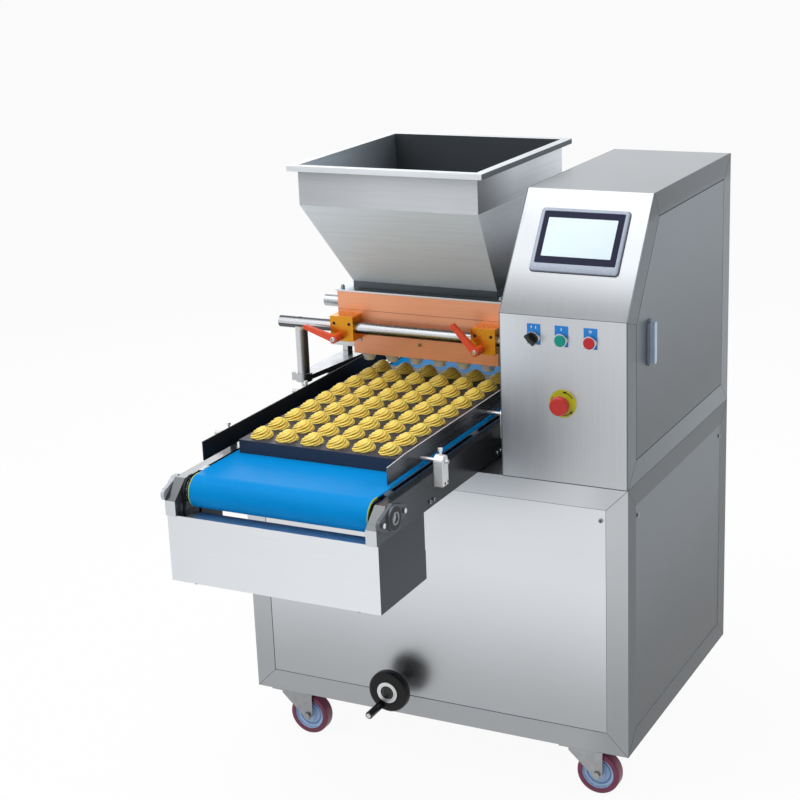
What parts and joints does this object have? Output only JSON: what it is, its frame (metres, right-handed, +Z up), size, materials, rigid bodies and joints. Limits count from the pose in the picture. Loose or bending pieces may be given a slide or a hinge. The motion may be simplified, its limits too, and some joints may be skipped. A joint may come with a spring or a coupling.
{
  "type": "cookie making machine",
  "caption": "Bakery cookie depositor: stainless cabinet on castors, belt table with a dough tray under a hopper head, height handwheel and a control box with touch screen.",
  "frame": {"origin": "on the floor under the middle of the machine's bounding box", "axes": "+X to the operator's right, +Y from the operator into the machine along the belt, +Z up"},
  "size_m": [0.9764, 1.471, 1.404],
  "materials": {
    "stainless": "brushed",
    "stainless_panel": "brushed",
    "chrome": "polished",
    "steel": "turned",
    "zinc": "zinc plated",
    "rail_aluminium": "milled",
    "post_aluminium": "milled",
    "copper_anodised": "anodised",
    "gold_anodised": "anodised",
    "cast_grey": "cast",
    "motor_grey": "painted",
    "black_steel": "semi gloss",
    "tray_coating": "non-stick coating",
    "dough": "soft matt",
    "belt_blue": "smooth",
    "red_lever": "gloss",
    "black_plastic": "gloss",
    "black_trim": "satin",
    "bezel_silver": "satin",
    "screen": "smooth",
    "legend": "smooth",
    "green": "gloss",
    "red": "gloss",
    "castor_tread": "satin",
    "control_plastic": "matt"
  },
  "bodies": {
    "base": {"cabinet_frame": "stainless", "cabinet_panels": "stainless_panel", "screws_and_nuts": "chrome", "box_wrap": "stainless", "box_sides": "stainless", "hmi_case": "bezel_silver", "hmi_screen": "screen", "legend_plates": "legend", "button_collars": "black_trim", "control_gear": "control_plastic", "castor_plates": "zinc", "jack_gearbox": "motor_grey", "head_block": "copper_anodised", "nozzles": "chrome", "head_plate": "stainless", "drive_housing": "stainless", "feed_motor": "motor_grey", "hopper": "stainless", "clamp_blocks": "gold_anodised", "chrome_bars": "chrome", "tie_arm": "chrome", "counter": "black_trim"},
    "table": {"conveyor_sides": "rail_aluminium", "belt": "belt_blue", "belt_bed": "stainless", "flange_bearings": "cast_grey", "drive_guard": "stainless", "conveyor_motor": "motor_grey", "drive_chain": "steel", "guide_posts": "post_aluminium", "lift_frame": "steel"},
    "drive_roller": {"drive_roller": "steel"},
    "tail_roller": {"tail_roller": "steel"},
    "motor_sprocket": {"motor_sprocket": "steel"},
    "guide_left": {"guide_left": "black_steel"},
    "guide_right": {"guide_right": "black_steel"},
    "tray": {"tray": "tray_coating", "dough": "dough"},
    "handwheel": {"handwheel": "black_plastic", "handwheel_shaft": "chrome"},
    "crank_grip": {"crank_grip": "black_plastic"},
    "lead_screw": {"lead_screw": "steel"},
    "clamp_lever_left": {"clamp_lever_left": "red_lever"},
    "clamp_lever_right": {"clamp_lever_right": "red_lever"},
    "selector": {"selector_knob": "black_plastic"},
    "start_button": {"start_button": "green"},
    "stop_button": {"stop_button": "red"},
    "estop": {"estop_head": "red"},
    "door": {"door": "stainless_panel"},
    "lock_handle": {"lock_handle": "chrome"},
    "feed_roller_front": {"feed_roller_front": "steel"},
    "feed_roller_rear": {"feed_roller_rear": "steel"},
    "castor_fork_front_right": {"castor_fork_front_right": "zinc"},
    "castor_wheel_front_right": {"castor_wheel_front_right": "castor_tread"},
    "castor_fork_front_left": {"castor_fork_front_left": "zinc"},
    "castor_wheel_front_left": {"castor_wheel_front_left": "castor_tread"},
    "castor_fork_rear_right": {"castor_fork_rear_right": "zinc"},
    "castor_wheel_rear_right": {"castor_wheel_rear_right": "castor_tread"},
    "castor_fork_rear_left": {"castor_fork_rear_left": "zinc"},
    "castor_wheel_rear_left": {"castor_wheel_rear_left": "castor_tread"}
  },
  "joints": [
    {"name": "table_lift", "type": "slide", "parent": "base", "child": "table", "axis": [0, 0, 1], "range_m": [0, 0.015]},
    {"name": "handwheel_turn", "type": "hinge", "parent": "base", "child": "handwheel", "pos_m": [-0.09315, -0.2465, 0.209], "axis": [0, 1, 0], "range_deg": [0, 1080]},
    {"name": "crank_grip_spin", "type": "hinge", "parent": "handwheel", "child": "crank_grip", "pos_m": [-0.11315, -0.3415, 0.173], "axis": [0, 1, 0], "continuous": true},
    {"name": "lead_screw_turn", "type": "hinge", "parent": "base", "child": "lead_screw", "pos_m": [-0.09315, 0.1085, 0.425], "axis": [0, 0, 1], "range_deg": [0, 1080]},
    {"name": "drive_roller_spin", "type": "hinge", "parent": "table", "child": "drive_roller", "pos_m": [-0.12315, -0.6765, 0.801], "axis": [1, 0, 0], "continuous": true},
    {"name": "tail_roller_spin", "type": "hinge", "parent": "table", "child": "tail_roller", "pos_m": [-0.12315, 0.6765, 0.801], "axis": [1, 0, 0], "continuous": true},
    {"name": "motor_sprocket_spin", "type": "hinge", "parent": "table", "child": "motor_sprocket", "pos_m": [-0.32915, -0.6865, 0.683], "axis": [1, 0, 0], "continuous": true},
    {"name": "guide_left_set", "type": "slide", "parent": "table", "child": "guide_left", "axis": [-1, 0, 0], "range_m": [-0.03, 0.015]},
    {"name": "guide_right_set", "type": "slide", "parent": "table", "child": "guide_right", "axis": [1, 0, 0], "range_m": [-0.015, 0.025]},
    {"name": "tray_travel", "type": "slide", "parent": "table", "child": "tray", "axis": [0, 1, 0], "range_m": [-0.15, 0.54]},
    {"name": "clamp_lever_left_turn", "type": "hinge", "parent": "base", "child": "clamp_lever_left", "pos_m": [-0.31415, -0.0815, 0.982], "axis": [0, 1, 0], "range_deg": [-90, 90]},
    {"name": "clamp_lever_right_turn", "type": "hinge", "parent": "base", "child": "clamp_lever_right", "pos_m": [0.05185, -0.0815, 0.982], "axis": [0, 1, 0], "range_deg": [-90, 90]},
    {"name": "selector_turn", "type": "hinge", "parent": "base", "child": "selector", "pos_m": [0.26185, -0.2465, 1.074], "axis": [0, 1, 0], "range_deg": [0, 90]},
    {"name": "start_press", "type": "slide", "parent": "base", "child": "start_button", "axis": [0, 1, 0], "range_m": [0, 0.003], "stiffness_N_per_m": 800},
    {"name": "stop_press", "type": "slide", "parent": "base", "child": "stop_button", "axis": [0, 1, 0], "range_m": [0, 0.003], "stiffness_N_per_m": 800},
    {"name": "estop_press", "type": "slide", "parent": "base", "child": "estop", "axis": [0, 1, 0], "range_m": [0, 0.005], "stiffness_N_per_m": 1500},
    {"name": "door_swing", "type": "hinge", "parent": "base", "child": "door", "pos_m": [0.46385, 0.3795, 1.055], "axis": [0, 0, 1], "range_deg": [0, 110]},
    {"name": "lock_turn", "type": "hinge", "parent": "door", "child": "lock_handle", "pos_m": [0.48185, -0.1175, 1.088], "axis": [1, 0, 0], "range_deg": [0, 90]},
    {"name": "feed_roller_front_spin", "type": "hinge", "parent": "base", "child": "feed_roller_front", "pos_m": [-0.12315, 0.0465, 1.038], "axis": [1, 0, 0], "continuous": true},
    {"name": "feed_roller_rear_spin", "type": "hinge", "parent": "base", "child": "feed_roller_rear", "pos_m": [-0.12315, 0.1165, 1.038], "axis": [1, 0, 0], "continuous": true},
    {"name": "castor_swivel_front_right", "type": "hinge", "parent": "base", "child": "castor_fork_front_right", "pos_m": [0.34985, -0.1965, 0.115], "axis": [0, 0, 1], "continuous": true},
    {"name": "castor_roll_front_right", "type": "hinge", "parent": "castor_fork_front_right", "child": "castor_wheel_front_right", "pos_m": [0.38585, -0.1965, 0.051], "axis": [0, 1, 0], "continuous": true},
    {"name": "castor_swivel_front_left", "type": "hinge", "parent": "base", "child": "castor_fork_front_left", "pos_m": [-0.40615, -0.1965, 0.115], "axis": [0, 0, 1], "continuous": true},
    {"name": "castor_roll_front_left", "type": "hinge", "parent": "castor_fork_front_left", "child": "castor_wheel_front_left", "pos_m": [-0.37015, -0.1965, 0.051], "axis": [0, 1, 0], "continuous": true},
    {"name": "castor_swivel_rear_right", "type": "hinge", "parent": "base", "child": "castor_fork_rear_right", "pos_m": [0.22185, 0.4135, 0.115], "axis": [0, 0, 1], "continuous": true},
    {"name": "castor_roll_rear_right", "type": "hinge", "parent": "castor_fork_rear_right", "child": "castor_wheel_rear_right", "pos_m": [0.25785, 0.4135, 0.051], "axis": [0, 1, 0], "continuous": true},
    {"name": "castor_swivel_rear_left", "type": "hinge", "parent": "base", "child": "castor_fork_rear_left", "pos_m": [-0.23815, 0.4135, 0.115], "axis": [0, 0, 1], "continuous": true},
    {"name": "castor_roll_rear_left", "type": "hinge", "parent": "castor_fork_rear_left", "child": "castor_wheel_rear_left", "pos_m": [-0.20215, 0.4135, 0.051], "axis": [0, 1, 0], "continuous": true}
  ],
  "couplings": [
    {"joint": "handwheel_turn", "follows": "table_lift", "rad_per_m": 1256.6},
    {"joint": "lead_screw_turn", "follows": "table_lift", "rad_per_m": 1256.6},
    {"joint": "tail_roller_spin", "follows": "drive_roller_spin", "ratio": 1},
    {"joint": "motor_sprocket_spin", "follows": "drive_roller_spin", "ratio": 1},
    {"joint": "feed_roller_rear_spin", "follows": "feed_roller_front_spin", "ratio": -1}
  ]
}
